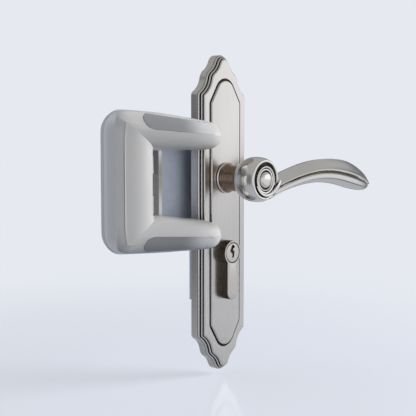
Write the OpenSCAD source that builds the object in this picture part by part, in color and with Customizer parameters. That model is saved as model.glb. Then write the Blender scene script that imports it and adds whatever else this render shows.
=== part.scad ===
// Door lever lock: a lever handle on a long back plate with a profile cylinder,
// a compact mortise case behind it, and a white swing guard whose two arms
// straddle the lever neck. X runs along the lever, Y into the door, Z up.
// The origin is the spindle axis on the front face of the door. Millimetres.

/* [Back plate] */
// Distance from the spindle up to the upper tip of the rim
plate_up = 87.2; // [70:0.1:110]
// Distance from the spindle down to the lower tip of the rim
plate_down = 141.8; // [110:0.1:180]
// Depth of the rim in front of the door
rim_depth = 10.6; // [8:0.1:14]
// Depth of the raised panel in front of the door
panel_depth = 12; // [9:0.1:16]
// How far the foot of the moulding stands out past the rim
foot_out = 2.4; // [1:0.1:4]
// Depth of the hollow in the back of the casting
hollow_depth = 7.6; // [5:0.1:9]

/* [Plate ends] */
// Radius of the rounded tip
tip_r = 5; // [3:0.1:8]
// Radius of the upper cove
cove_r = 16; // [8:0.1:24]
// Radius of the lobe
lobe_r = 6.5; // [4:0.1:10]
// Radius of the lower cove
flare_r = 17; // [10:0.1:24]
// Radius of the shoulder corner
corner_r = 1.5; // [1.2:0.1:3]

/* [Lever] */
// Length from the spindle to the lever tip
lever_length = 139; // [110:1:150]
// Depth of the hub face in front of the door
hub_depth = 50.6; // [44:0.1:60]
// Radius of the neck
neck_r = 9.8; // [7:0.1:12]
// Turn of the lever from rest to its stop
lever_turn = 45; // [30:1:60]

/* [Lock] */
// Distance from the spindle down to the cylinder axis
centres = 55; // [47:0.5:92]
// Distance from the outer forend face to the spindle
backset = 55; // [40:1:70]
// Travel of the latch bolt
latch_travel = 10.5; // [8:0.1:14]
// Pitch radius of the cam gear, the idler and the rack drive
pitch_r = 4.5; // [4:0.1:7]
// Number of teeth on each gear
teeth = 12; // [9:1:18]

/* [Swing guard] */
// Angle of the closed guard to the door face
guard_tilt = 12; // [5:1:20]
// Wall thickness of the moulded shells
shell = 2.2; // [1.6:0.1:3]
// Travel of a grip pad
pad_travel = 2; // [1:0.1:3]

/* [Hidden] */
$fn = 64;
case_y0 = 7;
case_y1 = 18;
case_mid = (case_y0 + case_y1) / 2;
cyl_z = -centres;
edge_x = -backset;
pin_x = -81.9;
pin_y = -5.6;
swing_half = lever_turn / 2;
lobe_reach = latch_travel / (2 * sin(swing_half));
module_size = 2 * pitch_r / teeth;
idler_z = cyl_z + 2 * pitch_r;
rack_z = idler_z + pitch_r;
part_y = 1.5;
// Lower and upper end of the guard leaf's tongues, which lie behind the arms, and the
// foot and height of the hooks at their ends
tongues = [[25, 39], [-46, -32]];
hook_foot = [30.3, -43];
hook_high = 8.5;

// Unit vector at an angle
function dir(a) = [cos(a), sin(a)];

// Points on an arc; a negative radius gives the hollow side of the same centre
function arc(c, r, a0, a1, n = 8) =
  [for (i = [0:n]) c + r * dir(a0 + (a1 - a0) * i / n)];

// Arc centres down one side of a plate end
end_c1 = [0, -tip_r];
end_c2 = end_c1 + (tip_r + cove_r) * dir(22);
end_c3 = end_c2 - (cove_r + lobe_r) * dir(58);
end_c4 = end_c3 + (lobe_r + flare_r) * dir(12);
end_c5 = end_c4 - (flare_r + corner_r) * dir(60);
rim_half = end_c5.x + corner_r;

// One side of a plate end, moved inward by d, from the tip to the shoulder
function end_side(d) = concat(
  arc(end_c1, tip_r - d, 90, 22),
  arc(end_c2, -cove_r - d, 22, 58),
  arc(end_c3, lobe_r - d, 58, 12),
  arc(end_c4, -flare_r - d, 12, 60),
  arc(end_c5, max(corner_r - d, 0.1), 60, 0, 4));

// One side of the panel end, from its crown to its corner
function panel_side(d) = concat(
  arc([0, -9], 10.2 - d, 90, 33),
  arc([12.74, -17], 3.7 - d, 33, 0, 4));

// A closed outline from one end side, set at both ends of the plate
function both_ends(side, top, bottom) = concat(
  [for (p = side) [p.x, top + p.y]],
  [for (i = [len(side) - 1:-1:0]) [side[i].x, bottom - side[i].y]],
  [for (p = side) [-p.x, bottom - p.y]],
  [for (i = [len(side) - 1:-1:0]) [-side[i].x, top + side[i].y]]);

module plate_outline(d) {
  polygon(both_ends(end_side(d), plate_up, -plate_down));
}

module panel_outline(d) {
  polygon(both_ends(panel_side(d), 70.8, -124.3));
}

// Extrudes a front view along Y from y0 to y1
module along_y(y0, y1) {
  translate([0, y1, 0])
    rotate([90, 0, 0])
      linear_extrude(y1 - y0)
        children();
}

// Round bar along Y
module bar_y(r, y0, y1, x = 0, z = 0) {
  translate([x, y0, z])
    rotate([-90, 0, 0])
      cylinder(r = r, h = y1 - y0);
}

// Round bar along X
module bar_x(r, x0, x1, y = 0, z = 0) {
  translate([x0, y, z])
    rotate([0, 90, 0])
      cylinder(r = r, h = x1 - x0);
}

// Block between two corners
module block(x0, x1, y0, y1, z0, z1) {
  translate([x0, y0, z0])
    cube([x1 - x0, y1 - y0, z1 - z0]);
}

// Puts the guard's own frame on its hinge pin
module at_guard() {
  translate([pin_x, pin_y, 0])
    rotate([0, 0, -guard_tilt])
      children();
}

// Faces of a tube of rings with flat fan ends
function ring_faces(n, m) = concat(
  [for (i = [0:n - 2], j = [0:m - 1]) [i * m + j, i * m + (j + 1) % m, (i + 1) * m + j]],
  [for (i = [0:n - 2], j = [0:m - 1])
    [i * m + (j + 1) % m, (i + 1) * m + (j + 1) % m, (i + 1) * m + j]],
  [for (j = [1:m - 2]) [0, j + 1, j]],
  [for (j = [1:m - 2]) [(n - 1) * m, (n - 1) * m + j, (n - 1) * m + j + 1]]);

// Wire coil about Z, from z = 0 upward
module coil(mean_r, wire_r, rise, turns, steps = 12, sides = 5) {
  count = turns * steps;
  pts = [for (i = [0:count], j = [0:sides - 1])
    let (a = 360 * i / steps, w = 360 * j / sides, q = mean_r + wire_r * cos(w))
    [q * cos(a), q * sin(a), wire_r + rise * i / count + wire_r * sin(w)]];
  polyhedron(points = pts, faces = ring_faces(count + 1, sides));
}

// Polar half angle of an involute tooth at radius r, thinned by gap
function involute(a) = tan(a) * 180 / PI - a;
function tooth_half(r, gap) =
  let (base = pitch_r * cos(20))
  90 / teeth - gap / (2 * pitch_r) * 180 / PI + involute(20)
    - (r > base ? involute(acos(base / r)) : 0);

// Gear outline with a tooth on the +X axis
module gear_outline(gap = 0.2) {
  root = pitch_r - 1.25 * module_size;
  tip = pitch_r + 0.85 * module_size;
  base = pitch_r * cos(20);
  radii = [root, base, (base + tip) / 2, tip];
  polygon([for (k = [0:teeth - 1]) each concat(
    [for (i = [0:3]) radii[i] * dir(360 * k / teeth - tooth_half(radii[i], gap))],
    [for (i = [3:-1:0]) radii[i] * dir(360 * k / teeth + tooth_half(radii[i], gap))])]);
}

// Cylinder profile seen from the front, grown by g
module profile_outline(g = 0) {
  translate([0, cyl_z])
    circle(r = 8.9 + g);
  translate([-5.8 - g, -84.2])
    square([11.6 + 2 * g, 84.2 - centres]);
  translate([0, -84.2])
    circle(r = 5.8 + g);
}

module backplate() {
  color([0.76, 0.75, 0.72])
    difference() {
      union() {
        along_y(-5.4, 0)
          plate_outline(-foot_out);
        along_y(-7.6, -5.4)
          plate_outline(-1.6);
        along_y(-9.4, -7.6)
          plate_outline(-0.8);
        along_y(-rim_depth, -9.4)
          plate_outline(0);
        along_y(-panel_depth + 0.6, -rim_depth)
          panel_outline(0);
        along_y(-panel_depth, -panel_depth + 0.6)
          panel_outline(1.1);
      }
      along_y(-hollow_depth, 1)
        plate_outline(1);
      bar_y(9.45, -panel_depth - 1, 0);
      along_y(-panel_depth - 1, 1)
        profile_outline(0.25);
      for (z = hook_foot)
        block(-rim_half - foot_out - 1, -rim_half + 2, -3.4, 1, z - 0.3, z + hook_high + 0.3);
      for (z = [72, -112])
        bar_y(2.55, -9.6, 0, 0, z);
    }
  color([0.76, 0.75, 0.72])
    for (x = [-17, 17])
      difference() {
        bar_y(3, -hollow_depth, -1.8, x, 26);
        bar_y(1.3, -hollow_depth + 0.6, 0, x, 26);
      }
}

module fixing_posts() {
  color([0.72, 0.73, 0.76])
    for (z = [72, -112])
      difference() {
        union() {
          bar_y(2.5, -9.5, -hollow_depth, 0, z);
          bar_y(3.6, -hollow_depth, 9, 0, z);
        }
        bar_y(1.9, 0, 10, 0, z);
      }
}

module lever_bush() {
  color([0.93, 0.92, 0.88])
    difference() {
      union() {
        bar_y(9.4, -panel_depth, -hollow_depth);
        bar_y(11, -hollow_depth, -7);
      }
      bar_y(7.55, -panel_depth - 1, 0);
    }
}

module return_spring() {
  color([0.55, 0.56, 0.6])
    translate([0, -3.3, 0])
      rotate([90, 0, 0])
        coil(11.2, 0.5, 2.6, 2, 24, 6);
}

module spring_cover() {
  color([0.72, 0.73, 0.76])
    difference() {
      along_y(-1.8, -1)
        union() {
          circle(r = 17.5);
          translate([-19.7, 12])
            square([39.4, 18]);
        }
      bar_y(10, -2, 0);
      for (x = [-17, 17])
        bar_y(1.6, -2, 0, x, 26);
    }
}

module cover_screws() {
  color([0.6, 0.61, 0.64])
    for (x = [-17, 17]) {
      bar_y(1.25, -5.5, -1, x, 26);
      bar_y(2.6, -1, -0.1, x, 26);
    }
}

// Middle, half height and half depth of the lever arm at x
function arm_mid(x) = -10.5 + 14 * sin(180 * (x + 2) / (lever_length + 3));
function arm_high(x) =
  let (swell = 0.75 * lever_length)
  x > swell
    ? 10.5 * sqrt(1 - pow((x - swell) / (lever_length - swell + 0.5), 2))
    : 6.6 + 3.9 * pow(x / swell, 1.4);
function arm_deep(x) =
  let (swell = 0.75 * lever_length)
  x > swell
    ? 6.4 * sqrt(1 - pow((x - swell) / (lever_length - swell + 2), 2))
    : min(7.6 - 1.2 * x / swell, 5.4 + 0.13 * max(x - 14, 0));
function arm_y(x) = -42.4 - 1.4 * sin(180 * x / lever_length);

// Section of the arm as shares of its half depth and half height: top edge, back,
// underside, rounded front band, groove and front ridge
arm_section = [[-0.15, 1], [0.25, 0.97], [0.62, 0.82], [0.9, 0.5], [1, 0.1], [0.95, -0.35],
  [0.75, -0.7], [0.42, -0.93], [0.05, -1], [-0.35, -0.95], [-0.65, -0.8], [-0.86, -0.62],
  [-1, -0.42], [-0.98, -0.2], [-0.82, -0.07], [-0.8, 0.02], [-0.95, 0.1], [-0.91, 0.18],
  [-0.74, 0.42], [-0.52, 0.72], [-0.34, 0.92]];

module lever() {
  arm_x = [for (i = [0:20]) 3 + (lever_length - 3) * (1 - pow(1 - i / 20, 1.25))];
  color([0.8, 0.79, 0.76])
    difference() {
      union() {
        rotate([90, 0, 0])
          rotate_extrude($fn = 96)
            polygon([[0, 0.5], [7.5, 0.5], [7.5, 12.35], [11.2, 12.35], [11.2, 13.4],
              [neck_r, 14.2], [neck_r - 0.4, 20], [neck_r, 27], [11.6, 29.6], [13.8, 31.4],
              [15.6, 35], [16.2, 40], [15.8, 45], [14.8, 48.4], [14, 49.9],
              [13.2, 50.3], [12.2, 49.8], [11.6, 48.7], [10.2, 48.5], [9.7, 49.4],
              [8.9, 49.9], [8.1, 49.4], [7.6, 48.4], [6.6, 48.7], [4.4, 50],
              [2.2, hub_depth - 0.15], [0, hub_depth]]);
        polyhedron(
          points = [for (x = arm_x, q = arm_section)
            [x, arm_y(x) + arm_deep(x) * q.x, arm_mid(x) + arm_high(x) * q.y]],
          faces = ring_faces(len(arm_x), len(arm_section)));
      }
      block(-4.05, 4.05, -46.1, 0, -4.05, 4.05);
      bar_y(8, -1.95, -0.95);
      for (s = [-1, 1])
        block(-9, 9, -3.15, 0, s > 0 ? 6.6 : -9, s > 0 ? 9 : -6.6);
      translate([0, -22, -12])
        cylinder(r = 2.55, h = 8);
    }
  color([0.8, 0.79, 0.76])
    difference() {
      bar_y(6.85, -1.95, -0.95);
      block(-4.05, 4.05, -2, 0, -4.05, 4.05);
      for (s = [-1, 1])
        block(-9, 9, -3.15, 0, s > 0 ? 6.6 : -9, s > 0 ? 9 : -6.6);
    }
}

module spring_rotor() {
  color([0.72, 0.73, 0.76])
    difference() {
      union() {
        bar_y(13.5, -3.1, -2);
        bar_y(9.6, -6.6, -3.1);
      }
      intersection() {
        bar_y(7.55, -3.2, 0);
        block(-9, 9, -3.2, 0, -6.65, 6.65);
      }
      bar_y(7.6, -7, -3.15);
    }
}

module circlip() {
  color([0.45, 0.46, 0.5])
    difference() {
      bar_y(9.2, -1.9, -1);
      bar_y(6.9, -2, 0);
      block(-3, 3, -2, 0, -10, 0);
    }
}

module spindle() {
  color([0.66, 0.67, 0.7])
    block(-4, 4, -46, 30, -4, 4);
}

module grub_screw() {
  color([0.4, 0.41, 0.44])
    translate([0, -22, -9.2])
      difference() {
        cylinder(r = 2.5, h = 5.1);
        translate([0, 0, -0.1])
          cylinder(r = 1.2, h = 2, $fn = 6);
      }
}

// Front view of the case, drawn in by d
module case_outline(d) {
  translate([edge_x + 3, -46 + d])
    square([24 - edge_x - 3 - d, 82 - 2 * d]);
  translate([-7.9 + d, -93 + d])
    square([31.9 - 2 * d, 60]);
}

module lock_case() {
  color([0.74, 0.75, 0.78])
    difference() {
      along_y(8.5, case_y1)
        case_outline(0);
      along_y(8, 16.5)
        case_outline(1.5);
      bar_y(7.5, 16, 19);
      bar_y(8.2, 8, 10, 0, cyl_z);
      bar_x(2.55, -12, -5, case_mid, -76);
      block(edge_x + 2.9, edge_x + 4.5, 8.6, 16.4, 3.6, 26.4);
      block(edge_x + 2.9, edge_x + 4.5, 8.6, 16.4, -38.4, -19.6);
    }
  color([0.74, 0.75, 0.78]) {
    block(edge_x + 3, edge_x + 4.5, 8.5, 16.5, -19.6, 3.6);
    block(edge_x + 3, edge_x + 4.5, 8.5, 16.5, 26.4, 34.5);
    block(edge_x + 3, edge_x + 4.5, 8.5, 16.5, -44.5, -38.4);
    block(-14, -11.5, 10.8, 14.2, 11.3, 20);
    block(-14, -11.5, 10.8, 16.5, 17.2, 20);
    bar_y(1.9, 9.8, 16.5, 0, idler_z);
    for (p = [[-44, 31], [18, 31], [18, -88]])
      difference() {
        bar_y(2.8, 8.5, 16.5, p.x, p.y);
        bar_y(1.3, 8, 15, p.x, p.y);
      }
  }
}

module case_lid() {
  color([0.78, 0.79, 0.82])
    difference() {
      along_y(case_y0, 8.5)
        case_outline(0);
      bar_y(7.5, 6, 9);
      along_y(6, 9)
        profile_outline(0.2);
      for (p = [[-44, 31], [18, 31], [18, -88]])
        bar_y(1.6, 6, 9, p.x, p.y);
    }
}

module lid_screws() {
  color([0.6, 0.61, 0.64])
    for (p = [[-44, 31], [18, 31], [18, -88]]) {
      bar_y(1.25, case_y0, 13, p.x, p.y);
      bar_y(2.6, 5.6, case_y0, p.x, p.y);
    }
}

module forend() {
  color([0.76, 0.75, 0.72])
    difference() {
      union() {
        block(edge_x, edge_x + 3, 3.5, 21.5, -42.5, 38);
        bar_x(9, edge_x, edge_x + 3, case_mid, 38);
        bar_x(9, edge_x, edge_x + 3, case_mid, -42.5);
      }
      block(edge_x - 1, edge_x + 4, 8.7, 16.3, 3.6, 26.4);
      block(edge_x - 1, edge_x + 4, 8.7, 16.3, -38.4, -19.6);
      for (z = [42, -48.6])
        bar_x(2, edge_x - 1, edge_x + 4, case_mid, z);
    }
}

module follower() {
  color([0.7, 0.6, 0.36])
    difference() {
      union() {
        bar_y(9, 8.8, 16.2);
        bar_y(7.45, 7.3, 17.7);
        rotate([0, -swing_half, 0]) {
          block(-1.7, 1.7, 11, 14, 0, lobe_reach);
          bar_y(2.6, 11, 14, 0, lobe_reach);
        }
      }
      block(-4.05, 4.05, 7, 18, -4.05, 4.05);
    }
}

module latch_bolt() {
  head = -lobe_reach * sin(swing_half) + 2.9;
  nose = edge_x - latch_travel;
  color([0.78, 0.74, 0.62])
    translate([0, 0, 4])
      linear_extrude(22)
        polygon([[nose, 15.8], [nose, 13.6], [nose + 1, 12.6], [edge_x, 9], [-40, 9],
          [-40, 16], [edge_x, 16], [nose + 0.6, 16]]);
  color([0.7, 0.71, 0.74]) {
    block(-40, head + 4, 9, 10.5, 11, 16.5);
    block(-40, head + 4, 14.5, 16, 11, 16.5);
    block(head, head + 4, 10.5, 14.5, 11, 16.5);
  }
}

module latch_spring() {
  color([0.55, 0.56, 0.6])
    translate([-39.9, case_mid, 13.8])
      rotate([0, 90, 0])
        coil(1.4, 0.3, 25, 9, 10, 5);
}

module deadbolt() {
  pitch = PI * module_size;
  root = rack_z + 1.25 * module_size;
  tip = rack_z - 0.85 * module_size;
  half = pitch / 4 - 0.1;
  lean = tan(20);
  color([0.7, 0.71, 0.74]) {
    block(edge_x + 0.2, -36, 9, 16, -38, -20);
    block(-36, 20, 10.5, 14.5, -38, -28);
    block(-7, 20, 10.5, 14.5, root, -38);
    along_y(10.5, 14.5)
      for (k = [-2:7])
        translate([k * pitch, 0])
          polygon([[-half - lean * (root - rack_z), root + 0.01],
            [-half + lean * (rack_z - tip), tip],
            [half - lean * (rack_z - tip), tip],
            [half + lean * (root - rack_z), root + 0.01]]);
  }
}

module idler_gear() {
  color([0.7, 0.6, 0.36])
    difference() {
      translate([0, 0, idler_z])
        along_y(10, 15)
          rotate(15 * 12 / teeth)
            gear_outline();
      bar_y(1.97, 9, 16, 0, idler_z);
    }
}

module cylinder_body() {
  color([0.8, 0.78, 0.72])
    difference() {
      union() {
        along_y(-18.6, 8.4)
          profile_outline();
        block(-5.8, 5.8, 8.4, 16.2, -84.2, -64);
        bar_y(5.8, 8.4, 16.2, 0, -84.2);
      }
      bar_y(7.45, -19, 8.5, 0, cyl_z);
      for (y = [-12.5:4.2:5])
        translate([0, y, -91])
          cylinder(r = 1.45, h = 30);
      bar_x(2.1, -7, 2, case_mid, -76);
    }
}

module keyway() {
  polygon([[-0.6, -50], [1.3, -50], [1.3, -53.2], [2.3, -54.4], [2.3, -56.2], [0.6, -57.2],
    [0.6, -60.6], [-1.6, -60.6], [-1.6, -56.6], [-0.2, -55.4], [-0.2, -54.6], [-1.6, -53.4],
    [-1.6, -51]]);
}

module cylinder_plug() {
  color([0.84, 0.8, 0.68])
    difference() {
      union() {
        bar_y(7.4, -18.2, 8.45, 0, cyl_z);
        bar_y(6, 8.4, 9.1, 0, cyl_z);
        bar_y(7.2, 9.1, 9.5, 0, cyl_z);
        bar_y(3.2, 9.5, 15.8, 0, cyl_z);
      }
      along_y(-19, 7)
        keyway();
      for (y = [-12.5:4.2:5])
        translate([0, y, cyl_z - 8])
          cylinder(r = 1.45, h = 7);
    }
}

module cylinder_cam() {
  color([0.66, 0.67, 0.7])
    difference() {
      translate([0, 0, cyl_z])
        along_y(9.6, 15.8)
          rotate(90)
            gear_outline();
      bar_y(3.22, 9, 17, 0, cyl_z);
    }
}

module plug_clip() {
  color([0.45, 0.46, 0.5])
    difference() {
      bar_y(7.8, 8.5, 9.05, 0, cyl_z);
      bar_y(6.05, 8, 10, 0, cyl_z);
      block(-4, 4, 8, 10, cyl_z, cyl_z + 10);
    }
}

module key_pins() {
  color([0.8, 0.66, 0.36])
    for (y = [-12.5:4.2:5])
      translate([0, y, -62.2]) {
        cylinder(r = 1.38, h = 2.8);
        translate([0, 0, 2.8])
          cylinder(r1 = 1.38, r2 = 0.6, h = 1.2);
      }
}

module driver_pins() {
  color([0.7, 0.71, 0.74])
    for (y = [-12.5:4.2:5])
      translate([0, y, -68])
        cylinder(r = 1.38, h = 5.4);
}

module pin_springs() {
  color([0.55, 0.56, 0.6])
    for (y = [-12.5:4.2:5])
      translate([0, y, -86])
        coil(1, 0.2, 17.5, 6, 8, 4);
}

module chamber_plugs() {
  color([0.8, 0.66, 0.36])
    for (y = [-12.5:4.2:5])
      translate([0, y, -88.6])
        cylinder(r = 1.43, h = 2.5);
}

module cylinder_screw() {
  color([0.5, 0.51, 0.54])
    difference() {
      bar_x(2.05, -7.8, 1.8, case_mid, -76);
      bar_x(1, -9, -5.6, case_mid, -76, $fn = 6);
    }
}

module guard_base() {
  color([0.93, 0.93, 0.94])
    difference() {
      union() {
        block(-72, -65, 0.2, 2.7, tongues[1][0], tongues[0][1]);
        for (t = tongues) {
          block(-72, -56, 0.2, 2.7, t[0], t[1]);
          block(-59.4, -56, -2.8, 2.7, t[0], t[1]);
          block(-57, -26, -2.8, -0.8, t[0], t[1]);
        }
        for (z = hook_foot) {
          block(-27, -20, -2.8, -0.8, z, z + hook_high);
          block(-21.5, -20, -6.5, -2.8, z, z + hook_high);
        }
        for (z = [-22, 6]) {
          block(pin_x, -67, -3.3, -0.8, z, z + 12);
          block(-72, -67, -3.3, 2.7, z, z + 12);
          translate([pin_x, pin_y, z])
            cylinder(r = 4.6, h = 12);
        }
      }
      translate([pin_x, pin_y, -30])
        cylinder(r = 2.02, h = 60);
    }
}

module adhesive_pad() {
  color([0.72, 0.74, 0.76])
    for (t = tongues)
      block(edge_x + 1, -27, -0.8, 0, t[0] + 1, t[1] - 1);
}

module hinge_pin() {
  color([0.72, 0.73, 0.76])
    translate([pin_x, pin_y, -33])
      cylinder(r = 2, h = 61);
}

module hinge_spring() {
  color([0.55, 0.56, 0.6])
    translate([pin_x, pin_y, -9.4])
      coil(3.1, 0.45, 14, 8, 14, 5);
}

// Front view of the guard: pairs of an inner and an outer edge point, the share of
// full depth and the share of the spine's section, from tip to tip round the spine
function tip_round(x) = pow(1 - pow(max(x - 50, 0) / 14.9, 2.4), 1 / 2.4);
function arm_pair(x, mid, half) =
  let (k = tip_round(x))
  [[x, mid + half * k], [x, mid - half * k], 0.45 + 0.55 * k, 0];
function corner_share(i) = max(0, min(1, (i - 2) / 4));
function upper_mid(x) = 36 - 0.077 * x;
function lower_mid(x) = -35 - 0.077 * x;
function arm_half(x) = 13.6 - 0.065 * x;
arm_stops = [64.6, 64, 62.8, 61, 58.6, 55.6, 51.6, 42.6, 33, 24, 18, 14.5];
guard_line = concat(
  [for (x = arm_stops) let (p = arm_pair(x, upper_mid(x), arm_half(x))) [p[1], p[0], p[2], 0]],
  [for (i = [0:7]) let (a = 90 + 90 * i / 7)
    [[10.4, 20.3] + 2 * dir(a), [-6.6, 27.6] + 22 * dir(a), 1, corner_share(i)]],
  [for (z = [16, 6, -6, -16]) [[8.4, z], [-28.6, z], 1, 1]],
  [for (i = [0:7]) let (a = 180 + 90 * i / 7)
    [[12.4, -19.6] + 4 * dir(a), [-6.6, -25.6] + 22 * dir(a), 1, corner_share(7 - i)]],
  [for (i = [len(arm_stops) - 1:-1:0])
    let (x = arm_stops[i], p = arm_pair(x, lower_mid(x), arm_half(x))) p]);

// Half sections: place across the arm, -1 at the inner edge and 1 at the outer
// edge, and depth from the parting plane, negative towards the front
front_skin = [[-1, 0], [-1, -6.5], [-0.86, -9.6], [-0.45, -12.4], [0.1, -13.5],
  [0.55, -12], [0.88, -9], [1, -6], [1, 0]];
spine_skin = [[-1, 0], [-0.97, -5], [-0.8, -9.2], [-0.45, -12.4], [0, -13.6], [0.45, -12.8],
  [0.9, -10.4], [0.985, -8.5], [1, 0]];
rear_skin = [[-1, 0], [-1, 3], [-0.95, 4.8], [-0.86, 5.5], [0, 5.5],
  [0.86, 5.5], [0.95, 4.8], [1, 3], [1, 0]];

// A hollow half shell along the guard line, open at the parting plane
module half_shell(skin, spine) {
  m = len(skin);
  n = len(guard_line);
  side = sign(skin[4][1]);
  pts = [for (s = guard_line)
    let (across = s[1] - s[0], wide = norm(across), cut = min(shell, 0.35 * wide) / wide,
      deep = s[2] < 0.99 ? 0.25 : 1,
      skins = [for (i = [0:m - 1]) skin[i] * (1 - s[3]) + spine[i] * s[3]])
    each concat(
      [for (p = skins) let (q = s[0] + across * (p[0] + 1) / 2)
        [q.x, part_y + p[1] * s[2], q.y]],
      [for (i = [m - 1:-1:0]) let (p = skins[i],
        q = s[0] + across * (cut + (1 - 2 * cut) * (p[0] + 1) / 2))
        [q.x, part_y + side * max(abs(p[1]) - shell, 0) * s[2] * deep, q.y]])];
  ring = 2 * m;
  walls = [for (i = [0:n - 2], j = [0:ring - 1]) each [
    [i * ring + j, (i + 1) * ring + j, i * ring + (j + 1) % ring],
    [i * ring + (j + 1) % ring, (i + 1) * ring + j, (i + 1) * ring + (j + 1) % ring]]];
  caps = [for (e = [0, n - 1], j = [0:m - 2]) e == 0
    ? [j, j + 1, ring - 2 - j, ring - 1 - j]
    : [e * ring + ring - 1 - j, e * ring + ring - 2 - j, e * ring + j + 1, e * ring + j]];
  faces = concat(walls, caps);
  polyhedron(points = pts, faces = side > 0 ? [for (f = faces) [for (i = [len(f) - 1:-1:0]) f[i]]]
    : faces);
}

module hinge_clearance() {
  for (z = [-22.4, 5.6]) {
    translate([0, 0, z])
      cylinder(r = 5, h = 12.8);
    block(-7.8, 12, 0, 9, z, z + 12.8);
  }
}

boss_places = [[-18, 26], [-18, -26], [40, 26], [40, -31.5]];

// Front surface of an arm at a place t across it
function crown(t) = lookup(t, [for (i = [2:6]) front_skin[i]]);

// Solid of a grip pad along an arm, between two depths below the crown
module pad_body(mid_sign, x0, x1, t0, t1, y_top, y_low) {
  xs = [for (i = [0:10]) x0 + (x1 - x0) * (1 - cos(18 * i)) / 2];
  pts = [for (x = xs)
    let (mid = mid_sign > 0 ? upper_mid(x) : lower_mid(x), half = arm_half(x) * mid_sign,
      e = (2 * x - x0 - x1) / (x1 - x0), k = 0.25 + 0.75 * sqrt(max(0, 1 - pow(e, 6))),
      t = [for (i = [0:3]) (t0 + t1) / 2 + (t1 - t0) / 2 * k * (i / 1.5 - 1)])
    each concat(
      [for (i = [0:3]) [x, part_y + crown(t[i]) + y_top, mid + half * t[i]]],
      [for (i = [3:-1:0]) [x, part_y + crown(t[i]) + y_low, mid + half * t[i]]])];
  faces = ring_faces(len(xs), 8);
  polyhedron(points = pts, faces = mid_sign < 0 ? [for (f = faces) [f[2], f[1], f[0]]] : faces);
}

module pad_pocket(mid_sign) {
  pad_body(mid_sign, -4.4, 55.4, 0.02, 0.88, -4, 6);
}

module guard_front_shell() {
  color([0.96, 0.96, 0.97])
    at_guard()
      difference() {
        union() {
          half_shell(front_skin, spine_skin);
          for (p = boss_places)
            translate([p.x, 0, p.y])
              bar_y(3, -9, part_y);
        }
        hinge_clearance();
        pad_pocket(1);
        pad_pocket(-1);
        for (p = boss_places)
          bar_y(1.3, -8, 3, p.x, p.y);
      }
}

module guard_rear_shell() {
  color([0.96, 0.96, 0.97])
    at_guard()
      difference() {
        union() {
          half_shell(rear_skin, rear_skin);
          for (z = [-33, 18.4]) {
            translate([0, 0, z])
              cylinder(r = 4.4, h = 10);
            block(-3.6, 3.6, 0, 5.5, z, z + 10);
          }
          for (p = boss_places)
            bar_y(3, part_y, 5.5, p.x, p.y);
        }
        hinge_clearance();
        translate([0, 0, -34])
          cylinder(r = 2.05, h = 63);
        for (p = boss_places)
          bar_y(1.6, 0, 8, p.x, p.y);
      }
}

module shell_screws() {
  color([0.6, 0.61, 0.64])
    at_guard()
      for (p = boss_places) {
        bar_y(1.25, -6, 7, p.x, p.y);
        bar_y(2.5, 7, 7.6, p.x, p.y);
      }
}

module tip_bumpers() {
  color([0.55, 0.56, 0.58])
    at_guard()
      for (z = [upper_mid(57), lower_mid(57)])
        bar_y(3, 7, 7.4, 57, z);
}

module pad_with_stem(mid_sign) {
  z = (mid_sign > 0 ? upper_mid(24) : lower_mid(24)) + mid_sign * 5;
  pad_body(mid_sign, -3.6, 54.6, 0.06, 0.84, -0.3, 3.4);
  pad_body(mid_sign, -6.4, 50, -0.08, 0.5, 3.3, 4.4);
  bar_y(1.8, -9, 4 - pad_travel, 24, z);
}

module upper_pad() {
  color([0.56, 0.57, 0.59])
    at_guard()
      pad_with_stem(1);
}

module lower_pad() {
  color([0.56, 0.57, 0.59])
    at_guard()
      pad_with_stem(-1);
}

module pad_spring(z) {
  color([0.55, 0.56, 0.6])
    at_guard()
      translate([24, 4.7, z])
        rotate([90, 0, 0])
          coil(2.7, 0.35, 10.1, 4, 12, 5);
}

module upper_pad_spring() {
  pad_spring(upper_mid(24) + 5);
}

module lower_pad_spring() {
  pad_spring(lower_mid(24) - 5);
}

backplate();
fixing_posts();
lever_bush();
return_spring();
spring_cover();
cover_screws();
lever();
spring_rotor();
circlip();
spindle();
grub_screw();
lock_case();
case_lid();
lid_screws();
forend();
follower();
latch_bolt();
latch_spring();
deadbolt();
idler_gear();
cylinder_body();
cylinder_plug();
cylinder_cam();
plug_clip();
key_pins();
driver_pins();
pin_springs();
chamber_plugs();
cylinder_screw();
guard_base();
adhesive_pad();
hinge_pin();
hinge_spring();
guard_front_shell();
guard_rear_shell();
shell_screws();
tip_bumpers();
upper_pad();
lower_pad();
upper_pad_spring();
lower_pad_spring();
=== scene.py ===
from math import copysign, cos, exp, hypot, pi, radians, sin, sqrt

import bmesh
import bpy
from mathutils import Matrix, Vector


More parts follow.
